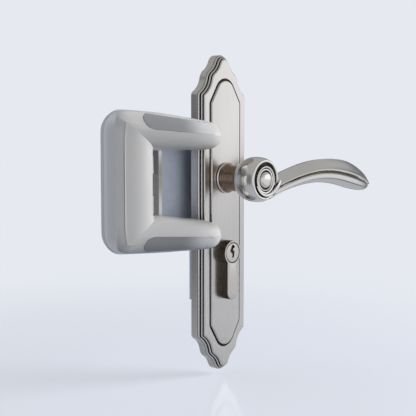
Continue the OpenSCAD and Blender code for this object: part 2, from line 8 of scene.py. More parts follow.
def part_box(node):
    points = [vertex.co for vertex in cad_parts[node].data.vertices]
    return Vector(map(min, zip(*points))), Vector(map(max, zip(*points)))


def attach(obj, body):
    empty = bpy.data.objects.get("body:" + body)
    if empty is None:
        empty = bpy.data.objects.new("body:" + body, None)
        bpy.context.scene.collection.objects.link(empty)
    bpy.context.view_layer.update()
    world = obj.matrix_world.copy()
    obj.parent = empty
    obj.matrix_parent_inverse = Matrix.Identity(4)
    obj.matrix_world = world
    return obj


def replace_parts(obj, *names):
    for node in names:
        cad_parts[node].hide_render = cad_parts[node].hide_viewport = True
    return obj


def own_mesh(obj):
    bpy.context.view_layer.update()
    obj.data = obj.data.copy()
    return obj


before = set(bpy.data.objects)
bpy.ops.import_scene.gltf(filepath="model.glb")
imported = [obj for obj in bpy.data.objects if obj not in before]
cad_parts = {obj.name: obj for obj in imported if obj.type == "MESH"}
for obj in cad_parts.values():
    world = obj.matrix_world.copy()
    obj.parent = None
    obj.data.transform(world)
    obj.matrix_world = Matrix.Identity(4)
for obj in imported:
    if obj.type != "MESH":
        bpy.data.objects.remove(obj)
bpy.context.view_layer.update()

# Back plate: a hollow zinc die casting whose edge steps up in a side wall, two beads and a
# flat rim to a raised, bevelled panel. It is brushed, plated with satin nickel, and held by
# two posts that screw into it from behind.
MM = 0.001
PLATE_HALF, PLATE_MIDDLE, FOOT = 114.5, -27.3, 2.4
SIDE_HEIGHT, SHELL_WALL, HOLLOW_DEPTH = 5.55, 3.5, 7.4
# The shaped end as arcs from its tip: degrees of each turn, and the way to the next centre.
TIP_ROUND = 5
END_ARCS = [(68, 21), (-36, 22.5), (46, 23.5), (-48, 18.5), (60, 0)]
# The edge's moulding as (width, rise) steps; a third value gives that slope the finish that
# paints shade into the quirks and step walls.
PAINTED_SHADE = 1
SIDE_WALL = [(0.03, 0.2), (0.1, 0.1), (0.06, -0.25, PAINTED_SHADE), (0.05, 0.0, PAINTED_SHADE)]
FIRST_STEP = [(0.02, 0.6, PAINTED_SHADE), (0.15, 0.35), (0.25, 0.3), (0.3, 0.15), (0.25, 0.03),
              (0.06, -0.05), (0.05, -0.3, PAINTED_SHADE)]
SECOND_STEP = [(0.35, 0.0, PAINTED_SHADE), (0.02, 1.5, PAINTED_SHADE), (0.1, 0.3), (0.18, 0.25), (0.2, 0.12),
               (0.2, 0.02), (0.06, -0.05), (0.05, -0.3, PAINTED_SHADE)]
RIM = [(0.35, 0.0, PAINTED_SHADE), (0.02, 1.25, PAINTED_SHADE), (0.1, 0.35), (0.25, 0.3), (0.25, 0.12),
       (0.4, 0.03)]
# The panel: an arched end that turns in to straight sides, and its face with a quirk round
# the foot, a bevel and a softened edge to the flat field; the quirk and the foot of the bevel are
# painted in shade.
PANEL_HALF, PANEL_MIDDLE, PANEL_SPREAD = 97.55, -26.75, 1.9
PANEL_ARCH, PANEL_ARCH_TURN, PANEL_CORNER, PANEL_CORNER_ROUND = 9, 57, (12.743, 17.0), 2.5
PANEL_FACE = [(0.1, -0.15), (0.16, -0.4, PAINTED_SHADE), (1.15, -0.05, PAINTED_SHADE), (0.12, 0.45, PAINTED_SHADE),
              (0.3, 0.95), (0.18, 0.22), (0.17, 0.1), (0.2, 0.02)]


def polar(degrees, radius=1.0):
    """A step of that length in the plate's plane, as (across, up)."""
    return Vector((radius * cos(radians(degrees)), radius * sin(radians(degrees))))


def corners_of(geom):
    """The vertices among what an operator made."""
    return [g for g in geom if isinstance(g, bmesh.types.BMVert)]


def arc_on(bm, corner, centre, turn, steps=10):
    """Spins an outline's last corner round a centre; a positive turn is clockwise in front."""
    made = bmesh.ops.spin(bm, geom=[corner], cent=(centre[0], 0, centre[1]), axis=(0, 1, 0),
                          angle=radians(turn), steps=steps)
    return corners_of(made["geom_last"])[0]


def line_on(bm, corner, across, up):
    """Draws an outline's last corner on in a straight line to a new place."""
    end = bmesh.ops.extrude_vert_indiv(bm, verts=[corner])["verts"][0]
    end.co = (across, 0, up)
    return end


def mirror_outline(bm, axes):
    """Completes an outline of which a quarter or a half is drawn."""
    for axis in axes:
        bmesh.ops.mirror(bm, geom=bm.verts[:] + bm.edges[:], axis=axis, merge_dist=0.001)


def close_front(bm):
    """Fills an outline and turns the face to the front."""
    face = bmesh.ops.contextual_create(bm, geom=bm.edges[:])["faces"][0]
    face.normal_update()
    if face.normal.y > 0:
        face.normal_flip()
    return face


def thicken(bm, faces, depth):
    """Extrudes faces along Y, keeps the old ones, and returns what was made."""
    made = bmesh.ops.extrude_face_region(bm, geom=faces, use_keep_orig=True)["geom"]
    bmesh.ops.translate(bm, vec=(0, depth, 0), verts=corners_of(made))
    return made


def mould(bm, face, steps):
    """Insets a face by (width, rise) steps and gives each slope its finish."""
    for width, rise, *marked in steps:
        slope = bmesh.ops.inset_region(bm, faces=[face], thickness=width, depth=rise,
                                       use_boundary=True, use_even_offset=True)["faces"]
        for side in slope:
            side.material_index = marked[0] if marked else 0


def as_object(bm, name):
    """Makes a mesh drawn in millimetres an object of the scene, in metres."""
    bmesh.ops.recalc_face_normals(bm, faces=bm.faces)
    bmesh.ops.scale(bm, vec=(MM, MM, MM), verts=bm.verts)
    mesh = bpy.data.meshes.new(name)
    bm.to_mesh(mesh)
    bm.free()
    made = bpy.data.objects.new(name, mesh)
    bpy.context.scene.collection.objects.link(made)
    return made


def shade(mesh, crisp):
    """Shades a mesh smooth, apart from edges that turn more than that many degrees."""
    mesh.shade_smooth()
    mesh.set_sharp_from_angle(angle=radians(crisp))


def seat(bm, name, body, finish, nodes, crisp):
    """Makes a mesh the finished piece that rides a body and stands for nodes of the frame."""
    bmesh.ops.remove_doubles(bm, verts=bm.verts, dist=0.0005)
    piece = as_object(bm, name)
    shade(piece.data, crisp)
    piece.data.materials.append(finish)
    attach(piece, body)
    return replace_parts(piece, *nodes)


def colour(code):
    """An sRGB hex colour as linear light."""
    parts = [int(code[i:i + 2], 16) / 255 for i in (1, 3, 5)]
    return [p / 12.92 if p <= 0.04045 else ((p + 0.055) / 1.055) ** 2.4 for p in parts] + [1.0]


def add(tree, kind, inputs, **settings):
    """Adds a node with its settings; an input is a value or the socket that feeds it."""
    node = tree.nodes.new(kind)
    for name, value in settings.items():
        setattr(node, name, value)
    for name, value in inputs.items():
        if isinstance(value, bpy.types.NodeSocket):
            tree.links.new(value, node.inputs[name])
        else:
            node.inputs[name].default_value = value
    return node


def new_finish(name, **sockets):
    """A material with its shader's constant values set, and the tree and shader to work on."""
    finish = bpy.data.materials.new(name)
    finish.use_nodes = True
    shader = finish.node_tree.nodes["Principled BSDF"]
    for socket, value in sockets.items():
        shader.inputs[socket].default_value = value
    return finish, finish.node_tree, shader


def worked_finish(name, light, dark, roughness, marks, patch, bite, detail, spread, **sockets):
    """A surface with the marks of its making: their size in mm along X, Y and Z is given.

    The marks streak the roughness by that spread and make a slight bump, and the tone drifts
    in patches of a size in mm."""
    finish, tree, shader = new_finish(name, **sockets)
    place = add(tree, "ShaderNodeTexCoord", {}).outputs["Object"]
    lay = add(tree, "ShaderNodeMapping", {"Vector": place, "Scale": [1000 / m for m in marks]})
    streaks = add(tree, "ShaderNodeTexNoise", {"Vector": lay.outputs[0], "Scale": 1,
                                               "Detail": detail}).outputs[0]
    cloud = add(tree, "ShaderNodeTexNoise", {"Vector": place, "Scale": 1000 / patch, "Detail": 2})
    tone = add(tree, "ShaderNodeMix", {0: cloud.outputs[0], 6: colour(dark), 7: colour(light)},
               data_type="RGBA")
    rough = add(tree, "ShaderNodeMapRange", {0: streaks, 1: 0.3, 2: 0.7,
                                             3: roughness * spread[0], 4: roughness * spread[1]})
    bump = add(tree, "ShaderNodeBump", {"Height": streaks, "Strength": bite,
                                        "Distance": 0.05 * MM})
    tree.links.new(tone.outputs[2], shader.inputs["Base Color"])
    tree.links.new(rough.outputs[0], shader.inputs["Roughness"])
    tree.links.new(bump.outputs[0], shader.inputs["Normal"])
    return finish


def metal_finish(name, light, dark, roughness, strokes, patch=14, bite=0.03):
    """Bare or plated metal, with the strokes that a tool left on it."""
    return worked_finish(name, light, dark, roughness, strokes, patch, bite, 3, (0.88, 1.12),
                         Metallic=1.0)


bm = bmesh.new()
edge = bm.verts.new((0, 0, PLATE_HALF + FOOT))
centre, facing = Vector((0, PLATE_HALF - TIP_ROUND)), 90
for turn, onward in END_ARCS:
    edge = arc_on(bm, edge, centre, turn)
    facing -= turn
    centre += polar(facing, onward)
    facing += 180
line_on(bm, edge, edge.co.x, 0)
mirror_outline(bm, "ZX")
bmesh.ops.translate(bm, vec=(0, 0, PLATE_MIDDLE), verts=bm.verts)
back = close_front(bm)
front = next(g for g in thicken(bm, [back], -SIDE_HEIGHT) if isinstance(g, bmesh.types.BMFace))
back.normal_update()
if back.normal.y < 0:
    back.normal_flip()
mould(bm, front, SIDE_WALL + FIRST_STEP + SECOND_STEP + RIM)
rim_height = -front.calc_center_median().y
bmesh.ops.delete(bm, geom=[front], context="FACES_ONLY")
mould(bm, back, [(SHELL_WALL, 0), (0.1, -HOLLOW_DEPTH)])

panel = bmesh.new()
corner_centre = Vector((PANEL_CORNER[0], PANEL_HALF - PANEL_CORNER[1]))
edge = panel.verts.new((0, 0, PANEL_HALF + PANEL_SPREAD))
edge = arc_on(panel, edge, (0, PANEL_HALF - PANEL_ARCH), PANEL_ARCH_TURN, 16)
turn_left = 90 - PANEL_ARCH_TURN
edge = line_on(panel, edge,
               *(corner_centre + polar(turn_left, PANEL_CORNER_ROUND + PANEL_SPREAD)))
edge = arc_on(panel, edge, corner_centre, turn_left, 6)
line_on(panel, edge, edge.co.x, 0)
mirror_outline(panel, "ZX")
bmesh.ops.translate(panel, vec=(0, -rim_height, PANEL_MIDDLE), verts=panel.verts)
mould(panel, close_front(panel), PANEL_FACE)
scratch = bpy.data.meshes.new("panel")
panel.to_mesh(scratch)
panel.free()
bm.from_mesh(scratch)
bpy.data.meshes.remove(scratch)
# The flat of the rim joins the moulding to the panel's foot.
bmesh.ops.triangle_fill(bm, use_beauty=True, edges=[
    e for e in bm.edges if e.is_boundary and abs(e.verts[0].co.y + rim_height) < 0.001])
# Satin nickel plate over brushed zinc: warm pale grey that blurs what it mirrors, with fine
# upright strokes. Real strokes are about 0.1 mm apart and are drawn at 0.7 mm to show.
plate_nickel = metal_finish("satin_nickel_plate_brushed_upright", "#D0CCC7", "#CAC6C1", 0.25,
                            (0.7, 0.7, 40), patch=40, bite=0.006)
plate = seat(bm, "backplate_moulded", "lock_body", plate_nickel, ["backplate"],
             crisp=40)
# In the quirks the plate is painted dark and dull: painted shade, so each line reads.
quirk_painted_shade = metal_finish("nickel_plate_painted_shade_in_the_quirks", "#4E4741", "#352F2A", 0.5,
                            (3, 3, 3), patch=8)
plate.data.materials.append(quirk_painted_shade)

# Posts, spring housing and bearing behind the plate: tapped posts and a sheet cover of zinc
# plated steel, a wound wire spring, blackened screws and a moulded nylon bush.


def dress(finish, *nodes):
    """Gives nodes of the frame a finish in place of their plain one."""
    for node in nodes:
        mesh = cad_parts[node].data
        mesh.materials.clear()
        mesh.materials.append(finish)


# Bright zinc plate: cool pale grey with cloudy passivation and fine drawing marks.
zinc = metal_finish("bright_zinc_plate", "#C4C9CE", "#A9B0B9", 0.3, (6, 0.8, 6), patch=9)
# Drawn spring wire: a darker, cooler grey with short upright marks.
spring_wire = metal_finish("drawn_spring_wire", "#9A9CA3", "#75777F", 0.26, (0.8, 0.8, 4),
                           patch=5)
# Black oxide: dull blue-black with a soft mottled sheen.
black_oxide = metal_finish("black_oxide_steel", "#4A4B50", "#333439", 0.42, (1.2, 1.2, 1.2),
                           patch=4)
dress(zinc, "fixing_posts", "spring_cover", "spring_rotor", "spindle")
dress(spring_wire, "return_spring")
dress(black_oxide, "cover_screws", "circlip", "grub_screw")


def moulded_finish(name, light, dark, roughness, grain, bite):
    """Moulded plastic or rubber: a tone that drifts a little, and a fine grain in mm."""
    return worked_finish(name, light, dark, roughness, (grain, grain, grain), 40, bite, 2,
                         (0.85, 1.2))


# Natural nylon: milky off-white with a waxy, slightly grained skin.
dress(moulded_finish("natural_nylon_moulded", "#ECE9DF", "#E0DBCE", 0.45, 0.8, 0.1),
      "lever_bush")

# Lever: one zinc casting, satin nickel plated. A turned neck and bulb carry a scrolled face,
# and the arm leaves it as a ridge, a groove and a flat band that end in a split leaf tip.
# The turned part as (radius, height), from the shank over the bulb to the middle of its face.
NECK_AND_BULB = [(0, 0.5), (7.5, 0.5), (7.5, 12.35), (11.0, 12.35), (11.3, 12.6), (11.3, 13.2),
                 (10.9, 13.6), (9.9, 13.9), (9.65, 14.6), (9.5, 17), (9.45, 20), (9.6, 24),
                 (9.95, 26.6), (10.1, 27.2), (10.0, 27.6), (9.8, 27.9), (10.3, 28.1),
                 (11.4, 28.6), (12.7, 29.6), (13.9, 31.2), (15.1, 33.6), (15.9, 36.6),
                 (16.2, 40), (16.1, 43), (15.7, 45.6), (15.1, 47.4), (14.7, 48.5), (14.4, 49.0),
                 (14.1, 49.2), (13.9, 49.25), (12.95, 49.25), (12.75, 49.15), (12.6, 48.8),
                 (12.5, 47.6), (12.1, 47.1), (11.2, 46.95), (10.4, 47.1)]
INNER_RING = [(10.0, 47.5), (9.95, 49.0), (9.85, 49.4), (9.7, 49.5), (8.95, 49.5), (8.75, 49.4),
              (8.6, 49.0), (8.55, 48.1), (8.4, 47.7), (8.2, 47.75)]
FINE_RING = [(8.05, 48.2), (8.0, 48.9), (7.85, 49.15), (7.7, 49.2), (7.2, 49.2), (7.05, 49.1),
             (6.95, 48.8), (6.9, 48.2), (6.7, 47.8), (6.2, 47.75)]
BOSS = [(5.9, 48.1), (5.8, 49.2), (5.4, 49.9), (4.7, 50.4), (3.6, 50.65), (1.8, 50.8),
        (0, 50.85)]
# Where the turned part has other finishes, a painted reflection on the neck and painted shade in
# the grooves: heights, and radii of the grooves in its face.
NECK, NECK_GROOVE = (13.6, 27.4), (27.4, 28.2)
FACE_GROOVES, GROOVE_RADII = (46.5, 48.2), (5.85, 12.65)
PAINTED_GREY_SHADE, PAINTED_NECK_REFLECTION = 2, 3
# The arm's section as shares of its half depth (front is negative) and half height.
ARM_SECTION = [(-0.15, 1), (0.25, 0.97), (0.62, 0.82), (0.9, 0.5), (1, 0.1), (0.95, -0.35),
               (0.75, -0.7), (0.42, -0.93), (0.05, -1), (-0.35, -0.97), (-0.62, -0.87),
               (-0.78, -0.74), (-0.85, -0.63), (-0.98, -0.59), (-1.02, -0.55), (-1.03, -0.27),
               (-0.96, -0.19), (-0.72, -0.1), (-0.67, -0.03), (-0.78, 0.02), (-0.96, 0.04),
               (-1.02, 0.07), (-1.03, 0.15), (-0.97, 0.19), (-0.78, 0.42), (-0.52, 0.72),
               (-0.34, 0.92)]
GROOVE, LEDGE = 18, 12
LEAF = range(6, GROOVE)
ARM_FROM, ARM_LENGTH, ARM_SWELL, ARM_STEPS, DARK_TO = 10.6, 141.0, 104.25, 40, 40.0
SPLIT_FROM, SPLIT, SPLIT_WIDTH, SHORT_LEAF = 110.0, 4.5, 1.6, 2.4
ARM_FRONT, ARM_BOW, ARM_LOW, ARM_RISE = -42.4, 1.4, -10.5, 14
ROOT_BULGE, ROOT_AT, ROOT_SPREAD = 1.6, 13, 9
DEPTH, DEPTH_LOSS, ROOT_DEPTH, ROOT_GAIN, ROOT_TO = 7.6, 1.2, 5.4, 0.13, 14
HEIGHT, HEIGHT_GAIN, HEIGHT_CURVE = 6.6, 3.9, 1.4
# The scroll's rim: degrees, radius and height where it starts, and how it goes on on the arm.
SCROLL_FROM, SCROLL_TURN, SCROLL_STEPS, SCROLL_RADIUS, SCROLL_HEIGHT = 225, 58, 14, 13.4, 49.0
SCROLL_ON_ARM, SCROLL_FRONT, SCROLL_DOWN = (7, 11, 15, 20, 26), 0.66, 0.84
TONGUE_FROM, TONGUE_TURN, TONGUE_STEPS, TONGUE_RADIUS, TONGUE_HEIGHT = 200, 157, 32, 10.7, 49.3


def between(value, ends):
    """Whether a value lies between two ends."""
    return ends[0] < value < ends[1]


def arm_middle(x):
    """Middle of the arm at a place along it: it bows forward, and rises and falls again."""
    forward = (ARM_BOW * sin(pi * x / ARM_LENGTH)
               + ROOT_BULGE * exp(-((x - ROOT_AT) / ROOT_SPREAD) ** 2))
    return Vector((x, ARM_FRONT - forward,
                   ARM_LOW + ARM_RISE * sin(pi * (x + 2) / (ARM_LENGTH + 3))))


def arm_size(x):
    """Half depth and half height of the arm at a place along it."""
    along, past = min(x / ARM_SWELL, 1), max(x - ARM_SWELL, 0)
    deep = min(DEPTH - DEPTH_LOSS * along, ROOT_DEPTH + ROOT_GAIN * max(x - ROOT_TO, 0))
    high = HEIGHT + HEIGHT_GAIN * along ** HEIGHT_CURVE
    return (deep * sqrt(1 - (past / (ARM_LENGTH - ARM_SWELL + 2)) ** 2),
            high * sqrt(1 - (past / (ARM_LENGTH - ARM_SWELL + 1.2)) ** 2))


def draw_on(bm, ring, places):
    """Extrudes a closed ring of vertices and sets the new ring at the places given."""
    edges = [bm.edges.get((ring[i - 1], ring[i])) for i in range(len(ring))]
    made = set(corners_of(bmesh.ops.extrude_edge_only(bm, edges=edges)["geom"]))
    grown = [next(e.other_vert(v) for e in v.link_edges if e.other_vert(v) in made)
             for v in ring]
    for vert, place in zip(grown, places):
        vert.co = place
    return grown


def sweep(bm, rings):
    """Draws a section through a row of rings, closes both ends, and returns its rings."""
    first = bmesh.ops.create_circle(bm, segments=len(rings[0]), radius=1)["verts"]
    for vert, place in zip(first, rings[0]):
        vert.co = place
    drawn = [first]
    for places in rings[1:]:
        drawn.append(draw_on(bm, drawn[-1], places))
    for end in (drawn[0], drawn[-1]):
        bmesh.ops.contextual_create(bm, geom=end)
    return drawn


def bead_rings(path, sides=10, flatness=0.35):
    """Flat-topped rings along a path of (place, radius), each square to the path."""
    out = Vector((0, -1, 0))
    rings = []
    for i, (place, radius) in enumerate(path):
        ahead = path[min(i + 1, len(path) - 1)][0] - path[max(i - 1, 0)][0]
        side = ahead.normalized().cross(out).normalized()
        ring = []
        for k in range(sides):
            across, up = polar(360 * k / sides)
            ring.append(place + radius * (across * side
                                          + copysign(abs(up) ** flatness, up) * out))
        rings.append(ring)
    return rings


bm = bmesh.new()
profile = [bm.verts.new((r, -h, 0)) for r, h in NECK_AND_BULB + INNER_RING + FINE_RING + BOSS]
rail = [bm.edges.new(pair) for pair in zip(profile, profile[1:])]
bmesh.ops.spin(bm, geom=profile + rail, cent=(0, 0, 0), axis=(0, 1, 0), angle=2 * pi, steps=96,
               use_merge=True)
for face in bm.faces:
    spot = face.calc_center_median()
    if between(-spot.y, NECK):
        face.material_index = PAINTED_NECK_REFLECTION
    elif between(-spot.y, NECK_GROOVE) or (between(-spot.y, FACE_GROOVES)
                                           and between(hypot(spot.x, spot.z), GROOVE_RADII)):
        face.material_index = PAINTED_SHADE

rings = []
for i in range(ARM_STEPS + 1):
    x = ARM_FROM + (ARM_LENGTH - ARM_FROM - 0.2) * (1 - (1 - i / ARM_STEPS) ** 1.4)
    middle, (deep, high) = arm_middle(x), arm_size(x)
    near_tip = (max(x - SPLIT_FROM, 0) / (ARM_LENGTH - SPLIT_FROM)) ** 2
    ring = []
    for k, (y, z) in enumerate(ARM_SECTION):
        cleft = SPLIT * exp(-((k - GROOVE) / SPLIT_WIDTH) ** 2)
        ring.append(middle + Vector((-near_tip * (cleft + SHORT_LEAF * (k in LEAF)),
                                     deep * y, high * z)))
    rings.append(ring)
drawn = sweep(bm, rings)
# The arm's groove is painted in shade, dark up to DARK_TO and grey beyond, and the ledge under
# the arm is painted grey as shade.
for ring, after in zip(drawn, drawn[1:]):
    for k in (LEDGE, GROOVE - 1, GROOVE):
        face = bm.faces.get((ring[k], ring[k + 1], after[k + 1], after[k]))
        dark = k != LEDGE and face.calc_center_median().x < DARK_TO
        face.material_index = PAINTED_SHADE if dark else PAINTED_GREY_SHADE

# The scroll's outer rim runs on as a bead along the arm's lower edge.
scroll = []
for i in range(SCROLL_STEPS + 1):
    share = i / SCROLL_STEPS
    spot = polar(SCROLL_FROM + SCROLL_TURN * share, SCROLL_RADIUS + 0.3 * share)
    scroll.append((Vector((spot.x, -SCROLL_HEIGHT - 0.2 * share, spot.y)), 0.3 + 0.5 * share))
for x in SCROLL_ON_ARM:
    middle, (deep, high) = arm_middle(x), arm_size(x)
    scroll.append((middle - Vector((0, SCROLL_FRONT * deep, SCROLL_DOWN * high)),
                   0.95 - 0.03 * x))
sweep(bm, bead_rings(scroll))
# A crescent tongue leaves the inner ring below and ends in a free tip at the arm.
tongue = []
for i in range(TONGUE_STEPS + 1):
    share = i / TONGUE_STEPS
    spot = polar(TONGUE_FROM + TONGUE_TURN * share,
                 TONGUE_RADIUS + 0.9 * share + 4.2 * share ** 7)
    tongue.append((Vector((spot.x, -TONGUE_HEIGHT - 0.6 * share, spot.y)),
                   0.25 + 1.5 * share ** 0.8 * sqrt(1 - max(share - 0.85, 0) ** 2 * 40)))
sweep(bm, bead_rings(tongue))
# The same plate on the lever: brighter and glossier, with strokes that run along the arm.
lever_nickel = metal_finish("satin_nickel_plate_brushed_along", "#E4E1DC", "#DCD9D4", 0.13,
                            (30, 0.7, 0.7), patch=25, bite=0.006)
lever = seat(bm, "lever_scrolled", "handle", lever_nickel, ["lever"], crisp=28)
lever.data.materials.append(quirk_painted_shade)
# The same plate painted a matt mid grey in the arm's groove and on its ledge: painted shade.
lever.data.materials.append(metal_finish("nickel_plate_painted_grey_shade_along_the_arm", "#8C8780",
                                         "#7A756E", 0.5, (30, 0.7, 0.7), patch=25, bite=0.006))
# The neck is painted a warmer, darker brown: a painted reflection of a warm, dark surround,
# brushed across.
lever.data.materials.append(metal_finish("nickel_plate_painted_warm_reflection_on_the_neck", "#A08D7C",
                                         "#8C7968", 0.22, (0.7, 0.7, 12), patch=12, bite=0.006))

# Mortise lock: a folded steel case and lid, plated with zinc, behind a satin nickel forend.
# A brass follower and idler run in it, with a nickel plated latch and a steel bolt that has
# a rack cut in its tail.
SPRING_WIRE, TURNS, STEPS, LATCH_TRAVEL = 0.3, 9, 16, 10.5


def facing_ring(bm, sides, radius, centre):
    """A ring that faces the front."""
    bmesh.ops.create_circle(bm, segments=sides, radius=radius, matrix=Matrix.Translation(centre)
                            @ Matrix.Rotation(pi / 2, 4, "X"))


# Turned brass: warm yellow, with a fine grain that breaks up its shine.
brass = metal_finish("turned_brass", "#D2B36A", "#B89750", 0.28, (1.0, 6, 1.0), patch=8)
# Galvanised sheet: pale blue-grey, dull, with soft spangle a few mm wide.
galvanised = metal_finish("galvanised_sheet_steel", "#DDE3EC", "#CDD5E0", 0.6, (3, 3, 3),
                          patch=7)
dress(galvanised, "lock_case", "case_lid")
dress(zinc, "deadbolt")
dress(plate_nickel, "forend")
dress(brass, "follower", "idler_gear")
# Nickel plate over cast brass: a neutral satin grey, streaked along the latch by its slide.
dress(metal_finish("nickel_plate_over_cast_brass", "#C9C8C8", "#B4B4B6", 0.32, (4, 1, 1),
                   patch=8), "latch_bolt")
dress(black_oxide, "lid_screws")
# The latch's spring is wound wire.
low, high = (Vector(corner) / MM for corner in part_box("latch_spring"))
middle, length = (low + high) / 2, high.x - low.x
bm = bmesh.new()
facing_ring(bm, 10, SPRING_WIRE, (low.x + SPRING_WIRE, middle.y, high.z - SPRING_WIRE))
bmesh.ops.spin(bm, geom=bm.verts[:] + bm.edges[:], cent=(low.x, middle.y, middle.z),
               axis=(1, 0, 0), angle=2 * pi * TURNS, steps=TURNS * STEPS,
               dvec=((length - 2 * SPRING_WIRE) / (TURNS * STEPS), 0, 0))
bmesh.ops.holes_fill(bm, edges=[e for e in bm.edges if e.is_boundary], sides=10)
latch_spring = seat(bm, "latch_spring_wound", "lock_body", spring_wire,
                    ["latch_spring"], crisp=60)
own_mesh(latch_spring)

# Cylinder: a keyhole-shaped brass body, sawn and plated with nickel, with a turned plug that
# shows its keyway in front and pins, springs and a cog cam behind.
CYLINDER_Z, BARREL, BARREL_TURN, PLUG_BORE = -55.0, 8.9, 139.3, 7.6
WEB, WEB_END, BODY_FRONT, BODY_BACK, BODY_LIP = 5.8, -84.2, -18.6, 8.4, 0.4
PLUG, PLUG_FRONT, PLUG_BACK, PLUG_LIP = 7.15, -18.5, 8.0, 0.5
KEYWAY = [(-0.2, 6.2), (1.7, 5.2), (2.3, 3.9), (0.5, 3.1), (-0.1, 2.0), (1.9, 1.0), (1.6, -0.4),
          (1.3, -2.3), (0.7, -3.9), (-1.1, -3.5), (-0.6, -1.8), (-0.8, -0.4), (-2.7, 0.6),
          (-3.0, 2.2), (-1.9, 3.6), (-1.4, 5.3)]


def bar_of(bm, front, back):
    """Fills an outline round its hole and draws it out to a bar."""
    filled = bmesh.ops.triangle_fill(bm, edges=bm.edges[:], use_beauty=True, use_dissolve=False)
    thicken(bm, [g for g in filled["geom"] if isinstance(g, bmesh.types.BMFace)], front - back)
    bmesh.ops.translate(bm, vec=(0, back, 0), verts=bm.verts)


def soften_lip(bm, front, offset, beyond=-1.0):
    """Bevels the sharp edges of a bar's front that lie beyond a radius."""
    lip = [e for e in bm.edges if e.is_manifold and e.calc_face_angle(0) > 1
           and all(abs(v.co.y - front) < 0.01 and hypot(v.co.x, v.co.z - CYLINDER_Z) > beyond
                   for v in e.verts)]
    bmesh.ops.bevel(bm, geom=lip, offset=offset, offset_type="OFFSET", segments=3, profile=0.5,
                    affect="EDGES", material=-1)


bm = bmesh.new()
edge = bm.verts.new((0, 0, CYLINDER_Z + BARREL))
edge = arc_on(bm, edge, (0, CYLINDER_Z), BARREL_TURN, 34)
edge = line_on(bm, edge, WEB, WEB_END)
arc_on(bm, edge, (0, WEB_END), 90, 14)
mirror_outline(bm, "X")
facing_ring(bm, 64, PLUG_BORE, (0, 0, CYLINDER_Z))
bar_of(bm, BODY_FRONT, BODY_BACK)
soften_lip(bm, BODY_FRONT, BODY_LIP)
# Nickel plate over sawn brass: a warm satin grey on the face, with a faint grain.
cylinder_nickel = metal_finish("nickel_plate_over_sawn_brass", "#CFCAC4", "#C5C0BA", 0.26,
                               (1.2, 25, 0.7), patch=20, bite=0.01)
cylinder = seat(bm, "cylinder_body_plated", "lock_body", cylinder_nickel,
                ["cylinder_body"], crisp=20)
# The sides are painted a dark brown as shade, and keep upright saw marks.
cylinder.data.materials.append(metal_finish("sawn_brass_painted_shade_on_the_sides", "#6A5F55", "#3E362F", 0.36,
                                            (20, 0.9, 30), patch=6, bite=0.1))
for face in cylinder.data.polygons:
    face.material_index = int(abs(face.normal.y) < 0.3)

bm = bmesh.new()
slot_corners = [bm.verts.new((x, 0, CYLINDER_Z + z)) for x, z in KEYWAY]
for pair in zip(slot_corners, slot_corners[1:] + slot_corners[:1]):
    bm.edges.new(pair)
facing_ring(bm, 64, PLUG, (0, 0, CYLINDER_Z))
bar_of(bm, PLUG_FRONT, PLUG_BACK)
soften_lip(bm, PLUG_FRONT, PLUG_LIP, beyond=PLUG - 0.25)
# Nickel-plated brass plug, faced on a lathe: bright, with a fine grain on its face.
plug_nickel = metal_finish("nickel_plate_over_turned_brass", "#DAD6CE", "#CBC6BD", 0.2,
                           (1.5, 8, 1.5), patch=6)
seat(bm, "cylinder_plug_faced", "core", plug_nickel, ["cylinder_plug"],
     crisp=35)
dress(zinc, "cylinder_cam", "driver_pins")
dress(brass, "key_pins", "chamber_plugs")
dress(spring_wire, "pin_springs")
dress(black_oxide, "plug_clip", "cylinder_screw")

# Guard leaf, tape and hinge: a moulded ABS leaf hooks behind the plate's edge on two strips
# of foam tape, and a steel pin and torsion spring carry the guard on it.
# Glossy white ABS: clean near-white, with the faint flow and ripple of a moulded skin.
white_abs = moulded_finish("white_ABS_moulded", "#F5F4F2", "#F0EFEE", 0.2, 2.5, 0.04)
# Closed-cell foam tape: matt pale grey with a fine pore.
foam = moulded_finish("closed_cell_foam_tape", "#BFC3C8", "#A7ACB3", 0.8, 0.6, 0.6)
dress(white_abs, "guard_base")
dress(foam, "adhesive_pad")
dress(zinc, "hinge_pin")
dress(spring_wire, "hinge_spring")

# Guard shells: two glossy ABS mouldings, screwed together from behind. The front one has a
# bead at its foot, a crest along each arm, a crisp corner down the spine and mitred corners.
HINGE_TURN, HINGE_AT, PART_Y = -12.0, (-81.9, -5.6, 0), 1.5
# Half sections from the inner edge, -1, to the outer, 1, with the depth from the parting line.
BEAD = 0.035
INNER_FOOT = [(-1, 0.1), (-1 - BEAD, -0.1), (-1 - BEAD, -0.9), (-0.995, -1.7)]
OUTER_FOOT = [(-t, y) for t, y in reversed(INNER_FOOT)]
ARM_FACE = INNER_FOOT + [
    (-1, -3.2), (-0.99, -5.8), (-0.93, -8.4), (-0.78, -10.8), (-0.5, -12.6), (-0.2, -13.5),
    (0.04, -13.8), (0.12, -13.6), (0.22, -13.31), (0.28, -13.14), (0.34, -12.97), (0.6, -11.95),
    (0.85, -9.9), (0.94, -8), (0.98, -6), (1, -3.5)
] + OUTER_FOOT
SPINE_FACE = INNER_FOOT + [
    (-0.985, -3.2), (-0.93, -6.2), (-0.82, -9), (-0.66, -11.2), (-0.46, -12.7), (-0.22, -13.5),
    (0, -13.75), (0.25, -13.65), (0.495, -13.35), (0.514, -13.6), (0.533, -13.28),
    (0.68, -12.98), (0.82, -12.55), (0.85, -10.8), (0.93, -7.4), (0.995, -3.8)
] + OUTER_FOOT
REAR_FACE = [(-0.94, 0), (-0.97, 1.9), (-0.97, 3.3), (-0.94, 4.7), (-0.86, 5.4), (-0.7, 5.5),
             (0, 5.5), (0.7, 5.5), (0.86, 5.4), (0.94, 4.7), (0.97, 3.3), (0.97, 1.9), (0.94, 0)]
CREST, FRONT_LINE, FRONT_CORNER, FRONT_EDGE = 10, 13, 16, -25.2
ARM_CORNER, CORNER_DRIFT, SQUARE_TO, SQUARE_OVER = 0.85, 0.034, 0.85, 0.5
